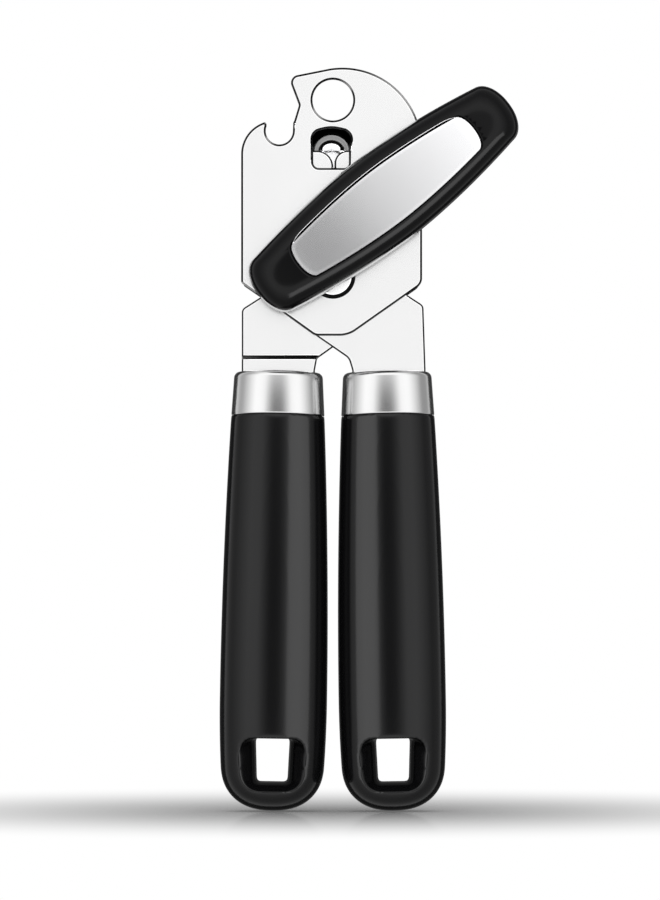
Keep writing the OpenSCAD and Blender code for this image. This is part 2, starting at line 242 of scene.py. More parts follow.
def loose(mesh):
    obj = bpy.data.objects.new("work", mesh)
    bpy.context.scene.collection.objects.link(obj)
    return obj


def mesh_from(points, faces, name="work"):
    mesh = bpy.data.meshes.new(name)
    bm = bmesh.new()
    corners = [bm.verts.new(point) for point in points]
    for face in faces:
        bm.faces.new([corners[i] for i in face])
    bmesh.ops.recalc_face_normals(bm, faces=bm.faces)
    bm.to_mesh(mesh)
    bm.free()
    return mesh


def tube(rings, ends="strips"):
    """A solid through rings of equal length. Each end is filled with strips between mirrored points, or with
    one flat face, or with ends="joined" the last ring meets the first."""
    count = len(rings[0])
    points = [point for ring in rings for point in ring]
    starts = [i * count for i in range(len(rings))]
    pairs = list(zip(starts, starts[1:])) + ([(starts[-1], starts[0])] if ends == "joined" else [])
    faces = [(low + i, low + (i + 1) % count, high + (i + 1) % count, high + i)
             for low, high in pairs for i in range(count)]
    for start in (starts[0], starts[-1]):
        if ends == "flat":
            faces.append([start + i for i in range(count)])
        if ends == "strips":
            for i in range(count // 2):
                corners = (i, i + 1, count - i - 1, (count - i) % count)
                faces.append([start + corner for corner in dict.fromkeys(corners)])
    return mesh_from(points, faces)


def evaluated(obj):
    """The object's mesh with its modifiers applied, and the object removed."""
    graph = bpy.context.evaluated_depsgraph_get()
    mesh = bpy.data.meshes.new_from_object(obj.evaluated_get(graph))
    bpy.data.objects.remove(obj)
    return mesh


def combined(mesh, tool, operation="DIFFERENCE"):
    first, second = loose(mesh), loose(tool)
    modifier = first.modifiers.new("combine", "BOOLEAN")
    modifier.operation = operation
    modifier.solver = "EXACT"
    modifier.object = second
    result = evaluated(first)
    bpy.data.objects.remove(second)
    return result


def remeshed(mesh, voxel, rounds):
    """The mesh rebuilt on a fine grid and relaxed, which rounds its edges a little."""
    obj = loose(mesh)
    remesh = obj.modifiers.new("remesh", "REMESH")
    remesh.mode = "VOXEL"
    remesh.voxel_size = voxel
    smooth = obj.modifiers.new("smooth", "SMOOTH")
    smooth.factor = 0.5
    smooth.iterations = rounds
    return evaluated(obj)


def shaded(mesh, angle=None):
    mesh.shade_smooth()
    if angle is not None:
        mesh.set_sharp_from_angle(angle=math.radians(angle))
    return mesh


def mirrored(mesh):
    copy = mesh.copy()
    copy.transform(Matrix.Diagonal((-1, 1, 1, 1)))
    copy.flip_normals()
    return copy


# ---- grips and ferrules ----

GRIP_LENGTH = 111.0 * MM
GRIP_TOP = 13.05 * MM       # half width at the ferrule
GRIP_WIDEST = 15.05 * MM    # half width at the widest place
WIDEST_AT = 0.72            # that place, as a share of the length
SWELL_POWER = 0.9
GRIP_DEPTH = 0.78           # depth as a share of width
GRIP_ROWS = 48
GRIP_VOXEL = 0.45 * MM
SQUARENESS = 2.3            # power of the superellipse: 2 is an ellipse
CAP_LENGTH = 12.6 * MM      # the rounded end
CAP_POWER = 2.4
END_FALL = 0.0015 / MM      # narrowing below the widest place, times the squared distance
NECK_INSET = 1.6 * MM       # the neck inside the ferrule
NECK_SPAN = (-3.0 * MM, 8.0 * MM)
SPLAY = math.radians(0.9)
AXIS_X = 15.4 * MM
GRIP_TOP_Z = -88.1 * MM
GRIP_Y = (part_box("right_lever")[0].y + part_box("right_lever")[1].y) / 2
AROUND = 128
FERRULE_HEIGHT = 12.2 * MM
FERRULE_WALL = 0.8 * MM
FERRULE_TAPER = 0.7 * MM    # narrowing of each side over the height
FERRULE_ROUNDING = 1.7 * MM
HEM_HEIGHT = 0.35 * MM
HEM_INSET = 0.2 * MM
ARCH = 0.85 * MM            # rise of the ferrule's edges from their middle to front and back
ARCH_MEAN = 0.35            # share of that rise taken off, so that the edges keep their mean height
ARCH_FADE = 20 * MM         # distance below the ferrule over which the rise fades
SLOT_X = (4.95 * MM, 26.2 * MM)
SLOT_Z = (-83 * MM, -71 * MM)
SLOT_PLAY = 0.05 * MM


def rounding(t, power=2.2):
    return max(0.0, 1 - t ** power) ** (1 / power)


def oval(half_width, half_depth, z, count=AROUND):
    points = []
    for i in range(count):
        angle = 2 * math.pi * i / count
        c, s = math.cos(angle), math.sin(angle)
        points.append((half_width * math.copysign(abs(c) ** (2 / SQUARENESS), c),
                       half_depth * math.copysign(abs(s) ** (2 / SQUARENESS), s), z))
    return points


def grip_half(s):
    """Half width of the grip at distance s below its top."""
    widest = WIDEST_AT * GRIP_LENGTH
    swell = math.sin(math.pi / 2 * min(1.0, s / widest) ** SWELL_POWER)
    width = GRIP_TOP + (GRIP_WIDEST - GRIP_TOP) * swell - END_FALL * max(0.0, s - widest) ** 2
    return width * rounding(max(0.0, (s - GRIP_LENGTH + CAP_LENGTH) / CAP_LENGTH), CAP_POWER)


def on_axis(mesh):
    """Moves a handle's piece from its own axis to its place on the right."""
    mesh.transform(Matrix.Translation((AXIS_X, GRIP_Y, GRIP_TOP_Z)) @ Matrix.Rotation(-SPLAY, 4, "Y"))
    return mesh


HOLE_BELOW_TOP = 96.6 * MM
HOLE_UP = 6.1               # upper edge of the hole above its centre, in mm
# Depth, width at the top and bottom, lower edge, and corner radii at the top and bottom of each slice, in mm
HOLE_SLICES = ((-0.4, 9.4, 8.5, -6.1, 0.4, 0.4), (0.4, 9.4, 8.5, -6.1, 0.4, 0.4),
               (3.5, 10.4, 9.6, -6.5, 0.9, 0.9), (6.0, 12.2, 11.4, -7.1, 1.8, 1.8),
               (7.3, 14.6, 13.8, -7.7, 2.7, 3.0), (9.2, 18.3, 17.6, -8.6, 4.0, 4.8),
               (10.6, 19.4, 18.6, -9.1, 4.4, 5.4), (12.6, 20.4, 19.6, -9.5, 4.6, 5.7))


def hole_ring(side, depth, top_width, low_width, low, top_radius, low_radius, steps=10):
    """One slice of the hole: a rounded four-sided outline whose upper edge stays level."""
    corners = ((top_width / 2, HOLE_UP, top_radius, -1, -1), (-top_width / 2, HOLE_UP, top_radius, 1, -1),
               (-low_width / 2, low, low_radius, 1, 1), (low_width / 2, low, low_radius, -1, 1))
    points = []
    for quarter, (x, z, radius, to_x, to_z) in enumerate(corners):
        for step in range(steps + 1):
            angle = math.pi / 2 * (quarter + step / steps)
            points.append(((x + to_x * radius + radius * math.cos(angle)) * MM, side * depth * MM,
                           (z + to_z * radius + radius * math.sin(angle)) * MM - HOLE_BELOW_TOP))
    return points


def arched(mesh):
    """Bends the ferrule's edges, and the grip's top below them, into arcs that rise to the front and back."""
    for vertex in mesh.vertices:
        fade = min(1.0, max(0.0, 1 + vertex.co.z / ARCH_FADE))
        across = vertex.co.y / (GRIP_TOP * GRIP_DEPTH)
        vertex.co.z += ARCH * fade * (across * across - ARCH_MEAN)
    return mesh


def grip_mesh():
    straight = GRIP_LENGTH - CAP_LENGTH
    rows = [straight - i * straight / GRIP_ROWS for i in range(GRIP_ROWS + 1)]
    cap = [straight + CAP_LENGTH * math.sin(a) for a in angles(88, 0, -4)]
    body = tube([oval(grip_half(s), grip_half(s) * GRIP_DEPTH, -s) for s in cap + rows])
    neck = GRIP_TOP - NECK_INSET
    body = combined(body, tube([oval(neck, neck * GRIP_DEPTH, z) for z in NECK_SPAN]), "UNION")
    for side in (-1, 1):
        body = combined(body, tube([hole_ring(side, *section) for section in HOLE_SLICES], "flat"))
    return on_axis(arched(remeshed(body, GRIP_VOXEL, 8)))


def ferrule_mesh():
    """A drawn steel cup with a rounded top edge and a rolled lower edge; the slot for the lever is cut
    afterwards.
    """
    def cup(inset, bottom, top):
        hem = [(bottom + HEM_HEIGHT * (1 - math.sin(a)), HEM_INSET * (1 - math.cos(a)))
               for a in angles(90, -1, -18)]
        shoulder = [(top - FERRULE_ROUNDING * (1 - math.sin(a)), FERRULE_ROUNDING * (1 - math.cos(a)))
                    for a in angles(0, 91, 10)]
        rings = []
        for z, edge in hem + shoulder:
            width = GRIP_TOP - FERRULE_TAPER * z / FERRULE_HEIGHT
            rings.append(oval(width - inset - edge, width * GRIP_DEPTH - inset - edge, z))
        return tube(rings)

    shell = combined(cup(0, 0, FERRULE_HEIGHT), cup(FERRULE_WALL, -1 * MM, FERRULE_HEIGHT - FERRULE_WALL))
    return on_axis(arched(shell))


def box_mesh(low, high):
    bm = bmesh.new()
    bmesh.ops.create_cube(bm, size=1)
    mesh = bpy.data.meshes.new("box")
    bm.to_mesh(mesh)
    bm.free()
    low, high = Vector(low), Vector(high)
    size = high - low
    mesh.transform(Matrix.Translation((low + high) / 2) @ Matrix.Diagonal((size.x, size.y, size.z, 1)))
    return mesh


def build_handles():
    grip = shaded(grip_mesh())
    piece("right_grip_moulding", grip, "black_plastic", "right_arm", "right_grip")
    piece("left_grip_moulding", mirrored(grip), "black_plastic", "frame", "left_grip")
    lever_low, lever_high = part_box("right_lever")
    slot = box_mesh((SLOT_X[0], lever_low.y - SLOT_PLAY, SLOT_Z[0]),
                    (SLOT_X[1], lever_high.y + SLOT_PLAY, SLOT_Z[1]))
    ferrule = shaded(combined(ferrule_mesh(), slot), 40)
    piece("right_ferrule_cup", ferrule, "ferrule_steel", "right_arm", "right_ferrule")
    piece("left_ferrule_cup", mirrored(ferrule), "ferrule_steel", "frame", "left_ferrule")


# ---- knob ----

KNOB_ANGLE = math.radians(37.7)
KNOB_LENGTH = 87.8 * MM
KNOB_WIDTH = 26.4 * MM
KNOB_SHIFT = -0.35 * MM     # of the wing's middle from the spindle, counted towards the upper end
KNOB_END = 4.8 * MM         # length of the wing's rounded end
KNOB_BACK = 12.6 * MM       # distance of the wing's back in front of the plate
KNOB_DEPTH = 15.8           # of the wing, in mm
CROWN_FROM = 13.5           # height, in mm, from which the wing's rings follow the whole crown
CROWN_RADIUS = 450 * MM
SIDE_FALL = 0.00615         # fall of the side in mm, for a distance in mm to the power below
SIDE_POWER = 1.78
FACE_INSETS = (7.2, 8.4, 10.0)  # rings on the wing's front, in mm from its outline
HUB_BORE = 5.0
HUB_FRONT, HUB_BACK = -1.4, -13.8
# Radius and depth of the hub's flare, in mm
HUB_FLARE = ((8.0, -3.6), (8.3, -6.0), (8.9, -8.4), (9.8, -10.4), (11.0, -11.8), (12.4, -12.7),
             (12.4, HUB_BACK))
INLAY_LENGTH = 61.2 * MM
INLAY_WIDTH = 16 * MM
INLAY_END = 2.5 * MM
INLAY_THICKNESS = 1.2
INLAY_SHIFT = 0.5 * MM
INLAY_CROWN = 0.75          # share of the knob's crown
INLAY_BELOW = 0.1           # depth of the inlay's top below the wing's, in mm
GROOVE = 0.3 * MM           # gap between the inlay and the moulding
POCKET_END = 2.6 * MM
LIP = 0.6                   # radius of the pocket's rounded rim, in mm


def half_width(u, length, width, end):
    fall = SIDE_FALL * (abs(u) / MM) ** SIDE_POWER * MM
    return (width / 2 - fall) * rounding(max(0.0, (abs(u) - length / 2 + end) / end))


def lozenge(length, width, end, inset, height, drop, shift=0.0):
    """The knob's boat shape as a ring of points, at a height that falls with the crown."""
    long_, wide = length - 2 * inset, width - 2 * inset
    tip = [long_ / 2 - end + end * math.cos(a) for a in angles(0, 90, 6)]
    side = [(long_ / 2 - end) * (1 - i / 16) for i in range(33)]
    stations = tip + side + [-u for u in reversed(tip)]
    upper = [(u, half_width(u, long_, wide, end)) for u in stations]
    lower = [(u, -v) for u, v in upper[-2:0:-1]]
    return [(u + shift, v, height - drop * u * u / (2 * CROWN_RADIUS)) for u, v in upper + lower]


def in_knob_frame(mesh):
    turn = Matrix.Rotation(-KNOB_ANGLE, 4, "Y") @ Matrix.Rotation(math.pi / 2, 4, "X")
    mesh.transform(Matrix.Translation((DRIVE.x, 0, DRIVE.z)) @ turn)
    return mesh


def wing_levels():
    """Height, inset and share of the crown for each ring of the knob's wing, from back to front."""
    back = [(3.4 * (1 - math.cos(a)), 1.6 * (1 - math.sin(a))) for a in angles(0, 91, 10)]
    front = [(9.5 + 6.3 * math.sin(a), 0.3 + 6.1 * (1 - math.cos(a))) for a in angles(0, 91, 6)]
    top = [(KNOB_DEPTH, inset) for inset in FACE_INSETS]
    return [(h * MM, inset * MM, min(1.0, h / CROWN_FROM)) for h, inset in back + front + top]


def eased(profile, radius, closed, steps=5):
    """A profile with its corners rounded, as [radius, depth] points."""
    points = [Vector(point) for point in profile]
    last = len(points) - 1
    result = []
    for i, corner in enumerate(points):
        if not closed and i in (0, last):
            result.append(corner)
            continue
        before, after = points[i - 1], points[(i + 1) % (last + 1)]
        reach = min(radius, 0.45 * (before - corner).length, 0.45 * (after - corner).length)
        start = corner + (before - corner).normalized() * reach
        end = corner + (after - corner).normalized() * reach
        for step in range(steps + 1):
            t = step / steps
            result.append(start * (1 - t) ** 2 + corner * 2 * t * (1 - t) + end * t * t)
    return result


ON_AXIS = 0.01              # smallest radius of a turned ring, in mm


def turned(profile, centre, ease=0.12, closed=False, count=96):
    """A solid turned about the Y axis through a centre, from [radius in mm, depth in m] pairs."""
    in_mm = [(radius, depth / MM) for radius, depth in profile]
    turns = [2 * math.pi * i / count for i in range(count)]
    return tube([[(centre.x + max(r, ON_AXIS) * MM * math.cos(turn), depth * MM,
                   centre.z + max(r, ON_AXIS) * MM * math.sin(turn)) for turn in turns]
                 for r, depth in eased(in_mm, ease, closed)], "joined" if closed else "strips")


# Depth, inset, inset on the upper side and depth of the groove there, for each ring of the inlay, in mm
INLAY_LEVELS = ((1.2, 0, -0.72, 0), (0.3, 0, -0.72, 0), (0.14, 0.02, -0.7, 0), (0.06, 0.05, -0.66, 0),
                (0.04, 0.08, -0.54, 0), (0.04, 0.1, -0.51, 0.6), (0.04, 0.12, 0.08, 0.6),
                (0.04, 0.15, 0.12, 0), (0.015, 0.5, 0.45, 0), (0, 1.2, 1.1, 0))
GROOVE_BANDS = (4, 5, 6)    # the bands between those rings that form the groove, painted black as shade
UPPER_REACH = 28.5 * MM     # half the length of the upper side
UPPER_FADE = 3 * MM         # distance over which it begins and ends


def upper_side(point):
    """How much a point of the inlay belongs to its upper side, where a groove parts it from a raised rim."""
    above = point[1] / UPPER_FADE
    inside = (UPPER_REACH - abs(point[0] - INLAY_SHIFT)) / UPPER_FADE
    return min(1.0, max(0.0, above)) * min(1.0, max(0.0, inside))


def knob_mesh(seat):
    """The wing with its hub, bore and the pocket for the inlay."""
    wing = in_knob_frame(tube([lozenge(KNOB_LENGTH, KNOB_WIDTH, KNOB_END, inset, KNOB_BACK + height, drop,
                                       KNOB_SHIFT) for height, inset, drop in wing_levels()]))
    profile = ((0, HUB_FRONT), (7.8, HUB_FRONT)) + HUB_FLARE + ((0, HUB_BACK),)
    hub = turned([(radius, depth * MM) for radius, depth in profile], DRIVE, 0.6)
    body = combined(wing, hub, "UNION")
    body = combined(body, turned([(HUB_BORE, -0.5 * MM), (HUB_BORE, -17.6 * MM)], DRIVE))
    lip = [(-LIP * (1 - math.sin(a)), -LIP * (1 - math.cos(a))) for a in angles(0, 91, 15)]
    levels = [(-INLAY_THICKNESS, 0.0)] + lip + [(3.0, -LIP)]
    length, width = INLAY_LENGTH + 2 * GROOVE, INLAY_WIDTH + 2 * GROOVE
    pocket = in_knob_frame(tube([lozenge(length, width, POCKET_END, inset * MM, seat + rise * MM, 1,
                                         INLAY_SHIFT) for rise, inset in levels]))
    return shaded(combined(body, pocket), 38)


def build_knob():
    seat = KNOB_BACK + KNOB_DEPTH * MM
    body = knob_mesh(seat)
    body.materials.clear()
    body.materials.append(MATERIALS["knob_plastic"])
    piece("knob_moulding", body, "black_plastic", "drive", "knob_body")
    rings = []
    for below, inset, inset_above, sunk in INLAY_LEVELS:
        height = seat - (below + INLAY_BELOW) * MM
        plain, wide = (lozenge(INLAY_LENGTH, INLAY_WIDTH, INLAY_END, i * MM, height, INLAY_CROWN, INLAY_SHIFT)
                       for i in (inset, inset_above))
        rings.append([Vector(a).lerp(b, upper_side(a)) - Vector((0, 0, sunk * MM * upper_side(a)))
                      for a, b in zip(plain, wide)])
    inlay = tube(rings)
    # The groove on the upper side is painted black as shade.
    for slot in ("inlay_steel", "shadowed_steel"):
        inlay.materials.append(MATERIALS[slot])
    for face in inlay.polygons:
        band = face.index // len(rings[0])
        face.material_index = int(band in GROOVE_BANDS and upper_side(face.center) > 0.4)
    inlay = shaded(in_knob_frame(inlay), 30)
    piece("knob_inlay_plate", inlay, "inlay_steel", "drive", "knob_inlay")


# ---- stamped plates ----

FACE_EDGE = 0.55            # width of the face plate's steep sheared edge, painted dark as shade, in mm
LEVER_EDGE = 0.42           # the same on the levers
STEEPNESS = 1.8             # depth of that edge as a share of its width
SHOULDER = 0.12             # width of the polished shoulder inside it, in mm
BURR = 0.22                 # width of the worn back edge, in mm
CORNER = math.radians(25)   # a sharper turn than this stays a corner
BEND = math.radians(0.4)    # a run of outline that turns less than this stays straight
UNEVEN = 2.5                # where one run is this much longer than the next, it alone gives the direction
JOGGLE_TOP = -71.4 * MM     # where the left lever steps forward to its grip
JOGGLE_HEIGHT = 1.15 * MM
JOGGLE_CUTS = 25
FLAT = 0.995                # a face that looks forwards or back by this share is flat
STEEP = (0.2, 0.84)         # between these shares forwards it belongs to the edge that is painted dark as shade
RIVET_STEEP = (0.2, 0.85)   # the same on the pivot rivet's head


def leftmost(point):
    """The order in which an outline's first point is picked, so that every run starts at the same one."""
    return round(point.x, 6), round(point.y, 6)


def outline_loops(mesh, least):
    """The closed outlines, as X-Z points, round those faces that look forwards by at least a share."""
    bm = bmesh.new()
    bm.from_mesh(mesh)
    bmesh.ops.remove_doubles(bm, verts=bm.verts, dist=0.002 * MM)
    follows = {}
    for face in bm.faces:
        if face.normal.y >= -least:
            continue
        for corner in face.loops:
            if all(other is face or other.normal.y >= -least for other in corner.edge.link_faces):
                follows[corner.vert] = corner.link_loop_next.vert
    loops = []
    while follows:
        vert = next(iter(follows))
        loop = []
        while vert in follows:
            point = Vector((vert.co.x, vert.co.z))
            if not loop or (point - loop[-1]).length > 0.01 * MM:
                loop.append(point)
            vert = follows.pop(vert)
        start = loop.index(min(loop, key=leftmost))
        loops.append(loop[start:] + loop[:start])
    bm.free()
    return sorted(loops, key=lambda loop: leftmost(loop[0]))


def along(loop, i):
    return loop[(i + 1) % len(loop)] - loop[i]


def headings(loop, i):
    """Directions in which the outline arrives at a point and leaves it."""
    before, after = along(loop, i - 1), along(loop, i)
    if before.angle(after) > CORNER:
        return before.normalized(), after.normalized()
    if before.length > UNEVEN * after.length:
        return (before.normalized(),) * 2
    if after.length > UNEVEN * before.length:
        return (after.normalized(),) * 2
    return ((before.normalized() + after.normalized()).normalized(),) * 2


def smoothed(loop, parts=4):
    """The outline with its arcs divided more finely, and its straight runs and corners kept."""
    result = []
    for i, start in enumerate(loop):
        edge = along(loop, i)
        leave, arrive = headings(loop, i)[1], headings(loop, (i + 1) % len(loop))[0]
        bends = max(edge.angle(leave), edge.angle(arrive)) > BEND
        for part in range(parts if bends else 1):
            t = part / parts
            curve = ((t - 2) * t + 1) * t * leave + (t - 1) * t * t * arrive
            result.append(start + edge * t * t * (3 - 2 * t) + curve * edge.length)
    return result


def inset_loop(loop, distance):
    """The outline moved into the material; points that would cross over are drawn together."""
    count = len(loop)
    moved = []
    for i, point in enumerate(loop):
        before, after = along(loop, i - 1).normalized(), along(loop, i).normalized()
        mitre = Vector((-before.y - after.y, before.x + after.x)) / max(0.4, 1 + before.dot(after))
        moved.append(point + mitre * distance)
    for _ in range(8):
        for i in range(count):
            j = (i + 1) % count
            if (moved[j] - moved[i]).dot(loop[j] - loop[i]) < 0:
                moved[i] = moved[j] = (moved[i] + moved[j]) / 2
    return moved


def flat_cap(rings):
    """Points and triangles that fill the material between outlines, which have the material on their left."""
    points = [point for ring in rings for point in ring]
    starts = [sum(len(ring) for ring in rings[:k]) for k in range(len(rings))]
    borders = [list(range(start, start + len(ring))) for start, ring in zip(starts, rings)]
    corners, _, triangles = delaunay_2d_cdt(points, [], borders, 1, 1e-7)[:3]
    here = numpy.array([point[:] for point in points])
    there = numpy.array([point[:] for ring in rings for point in ring[1:] + ring[:1]])
    sums = [sum((corners[i] for i in triangle), Vector((0, 0)))[:] for triangle in triangles]
    centres = numpy.array(sums) / 3
    level = centres[:, 1:2]
    rises = (here[:, 1] <= level) & (there[:, 1] > level)
    falls = (here[:, 1] > level) & (there[:, 1] <= level)
    climb = there[:, 1] - here[:, 1]
    share = (level - here[:, 1]) / numpy.where(climb == 0, 1, climb)
    right = here[:, 0] + share * (there[:, 0] - here[:, 0]) > centres[:, 0:1]
    winding = (rises & right).sum(axis=1) - (falls & right).sum(axis=1)
    return corners, [triangle for triangle, turns in zip(triangles, winding) if turns > 0]


def plate_mesh(loops, front, back, edge, burr=BURR):
    """A stamped plate with a steep front edge and a worn back edge, from its outlines."""
    flat = edge + SHOULDER
    thick = (back - front) / MM
    slope = [(flat + 0.1, 0.0), (flat, 0.0), (flat - 0.4 * SHOULDER, 0.01), (edge, 0.05),
             (0.93 * edge, 0.05 + 0.1 * edge), (0.05 * edge, STEEPNESS * edge),
             (0.0, STEEPNESS * edge + 0.08)]
    worn = [(burr * (1 - math.cos(a)), thick - burr * (1 - math.sin(a))) for a in angles(0, 91, 30)]
    bm = bmesh.new()
    rims = ([], [])
    for loop in loops:
        rings = [[bm.verts.new((p.x, front + depth * MM, p.y)) for p in inset_loop(loop, inset * MM)]
                 for inset, depth in slope + worn + [(burr + 0.1, thick)]]
        for low, high in zip(rings, rings[1:]):
            for i, j in zip(range(-1, len(loop) - 1), range(len(loop))):
                bm.faces.new((low[i], low[j], high[j], high[i]))
        rims[0].append(rings[0])
        rims[1].append(rings[-1])
    for rim, depth in zip(rims, (front, back)):
        corners, triangles = flat_cap([[Vector((vert.co.x, vert.co.z)) for vert in ring] for ring in rim])
        cap = [bm.verts.new((corner.x, depth, corner.y)) for corner in corners]
        for triangle in triangles:
            bm.faces.new([cap[i] for i in triangle])
    bmesh.ops.remove_doubles(bm, verts=bm.verts, dist=0.001 * MM)
    bmesh.ops.dissolve_degenerate(bm, edges=bm.edges, dist=0.0005 * MM)
    bmesh.ops.delete(bm, geom=[vert for vert in bm.verts if not vert.link_faces], context="VERTS")
    bmesh.ops.recalc_face_normals(bm, faces=bm.faces)
    mesh = bpy.data.meshes.new("plate")
    bm.to_mesh(mesh)
    bm.free()
    return mesh


def stepped(mesh):
    """The left lever bent forward from the rear layer to the layer of the grips."""
    bm = bmesh.new()
    bm.from_mesh(mesh)
    for i in range(JOGGLE_CUTS):
        level = Vector((0, 0, JOGGLE_TOP + (1.4 - i / 7) * JOGGLE_HEIGHT))
        bmesh.ops.bisect_plane(bm, geom=bm.verts[:] + bm.edges[:] + bm.faces[:], plane_co=level,
                               plane_no=Vector((0, 0, 1)), dist=0.0001 * MM)
    for vert in bm.verts:
        depth = (vert.co.y - REAR_FRONT) / FACE_BACK
        t = (vert.co.z - JOGGLE_TOP + JOGGLE_HEIGHT * (1 + depth)) / JOGGLE_HEIGHT
        t = min(1.0, max(0.0, t))
        vert.co.y -= (REAR_FRONT - MID_FRONT) * (1 - t * t * (3 - 2 * t))
    bm.to_mesh(mesh)
    bm.free()
    return mesh


def edged(mesh):
    """Marks the flat faces and the worn edges, and paints the sheared edge and the bend of a plate dark as
    shade.
    """
    for slot in ("plate_steel", "plate_edge", "shear_band"):
        mesh.materials.append(MATERIALS[slot])
    for face in mesh.polygons:
        from_bend = abs(face.center.z - JOGGLE_TOP + JOGGLE_HEIGHT) / JOGGLE_HEIGHT
        bend = from_bend < 1.2 and face.normal.z > 0.2
        steep = STEEP[0] < -face.normal.y < STEEP[1] or bend and face.normal.y < 0
        face.material_index = 0 if abs(face.normal.y) > FLAT else 2 if steep else 1
    return shaded(mesh)


CUP_BLADE = 3.2 * MM        # radius of the window cup's bright middle
CUP_FLANGE = 4.95 * MM      # outer radius of its ledge, which is painted mid-grey as shade; the wall outside it is painted black as shade
CUP_REACH = 4.9 * MM        # radius within which it is squashed
CUP_SQUASH, CUP_EASE = 0.68, 0.24  # height left at its centre, and what is added towards that radius
CUP_OVAL = 0.84             # height as a share of width where its materials change
CUP_CUT = 0.15 * MM         # distance of its lower edge below its centre
# Radius and depth behind the face plate, in mm, round the cup's section, with a smooth step in the middle
CUP_SECTION = ([(6.4, 0), (7.6, 0), (7.6, 0.5), (5.5, 3.7), (3.6, 3.7), (2.4, 2.8), (1.2, 2.7), (0.02, 2.7),
                (0.02, 2.08), (1.2, 2.12)]
               + [(2.2 + 0.18 * i, 2.6 - 0.4 * math.cos(math.pi * i / 9)) for i in range(10)] + [(4.8, 3.0)])


def build_window_cup():
    low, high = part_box("window_cup")
    centre = Vector(((low.x + high.x) / 2, 0, low.z))
    profile = [(radius, FACE_BACK + depth * MM) for radius, depth in CUP_SECTION]
    cup = turned(profile, centre, 0.35, closed=True)
    for vertex in cup.vertices:
        reach = math.hypot(vertex.co.x - centre.x, vertex.co.z - centre.z) / CUP_REACH
        share = CUP_SQUASH + CUP_EASE * reach * reach if reach < 1 else 1
        vertex.co.z = centre.z + (vertex.co.z - centre.z) * share
    cup = shaded(combined(cup, box_mesh((-1, -1, -1), (1, 1, centre.z - CUP_CUT))), 40)
    # The cup is one steel: its ledge is painted mid-grey and its outer wall black, as shade in the recess
    # round its bright middle.
    for slot in ("blade_steel", "flange_steel", "shadowed_steel"):
        cup.materials.append(MATERIALS[slot])
    for face in cup.polygons:
        radius = math.hypot(face.center.x - centre.x, (face.center.z - centre.z) / CUP_OVAL)
        face.material_index = 0 if radius < CUP_BLADE else 1 if radius < CUP_FLANGE else 2
    piece("window_cup_pressing", cup, "plate_steel", "frame", "window_cup")


# Node, body, how far a face has to look forwards to count for the outline, and depth of the front
PLATES = (("face_plate", "frame", 0.9, 0.0), ("right_lever", "right_arm", 0.9, MID_FRONT),
          ("left_lever", "frame", 0.3, REAR_FRONT))


def build_plates():
    for node, body, least, front in PLATES:
        loops = [smoothed(loop) for loop in outline_loops(frame["nodes"][node].data, least)]
        edge = FACE_EDGE if node == "face_plate" else LEVER_EDGE
        mesh = plate_mesh(loops, front, front + FACE_BACK, edge)
        if node == "left_lever":
            mesh = stepped(mesh)
        piece(node + "_stamping", edged(mesh), "plate_steel", body, node)
    build_window_cup()


# ---- turned steel ----

BUSH_BACK = REAR_BACK + 0.6 * MM
FEED_BACK = BUSH_BACK + 2.6 * MM
FEED_HUB_BACK = FEED_BACK + 1.2 * MM
STEP_BACK = REAR_BACK + 0.5 * MM
BLADE_FRONT = STEP_BACK + 2.4 * MM
BLADE_BACK = BLADE_FRONT + 1.9 * MM
RUNNING = 0.06              # clearance of a running fit, in mm
FEED_RADIUS = 8.3
FEED_TEETH = 28
# One tooth: share of the tooth's pitch, and drop below the wheel's radius in mm
TOOTH = ((0.0, 0.12), (0.05, 0.0), (0.2, 0.0), (0.28, 0.15), (0.55, 1.1), (0.75, 1.1))
SQUARE = 3.5 * MM           # the spindle's square in the feed wheel
WAVE = 0.1 * MM             # height of the spring washer's waves
WAVES = 3


def lathe(name, slot, body, node, centre, profile, ease=0.15, closed=False):
    """A turned piece, from [radius in mm, reference depth, distance behind it in mm] rows."""
    mesh = turned([(radius, depth + behind * MM) for radius, depth, behind in profile], centre, ease, closed)
    return piece(name, shaded(mesh, 50), slot, body, node)


def feed_wheel_mesh():
    """A hardened wheel with slightly raked teeth, a hub and a square bore."""
    teeth = []
    for i in range(FEED_TEETH):
        for share, drop in TOOTH:
            angle = 2 * math.pi * (i + share) / FEED_TEETH
            radius = (FEED_RADIUS - drop) * MM
            teeth.append(Vector((DRIVE.x + radius * math.cos(angle), DRIVE.z + radius * math.sin(angle))))
    wheel = plate_mesh([teeth], BUSH_BACK + 0.1 * MM, FEED_BACK, 0.1, 0.1)
    hub = turned([(0, FEED_BACK - 0.5 * MM), (5, FEED_BACK - 0.5 * MM), (5, FEED_BACK + 0.1 * MM),
                  (4.6, FEED_HUB_BACK), (0, FEED_HUB_BACK)], DRIVE, 0.2)
    wheel = combined(wheel, hub, "UNION")
    bore = box_mesh((-SQUARE / 2, 0, -SQUARE / 2), (SQUARE / 2, 20 * MM, SQUARE / 2))
    bore.transform(Matrix.Translation((DRIVE.x, 0, DRIVE.z)) @ Matrix.Rotation(-KNOB_ANGLE, 4, "Y"))
    return shaded(combined(wheel, bore), 30)


def spring_washer_mesh():
    """A thin ring with waves."""
    low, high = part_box("spring_washer")
    middle, half = (low.y + high.y) / 2, 0.13 * MM
    mesh = turned([(2.6, middle - half), (5.5, middle - half), (5.5, middle + half), (2.6, middle + half)],
                  DRIVE, 0.05, closed=True)
    for vertex in mesh.vertices:
        turn = math.atan2(vertex.co.z - DRIVE.z, vertex.co.x - DRIVE.x)
        vertex.co.y += WAVE * math.sin(WAVES * turn)
    return shaded(mesh, 50)


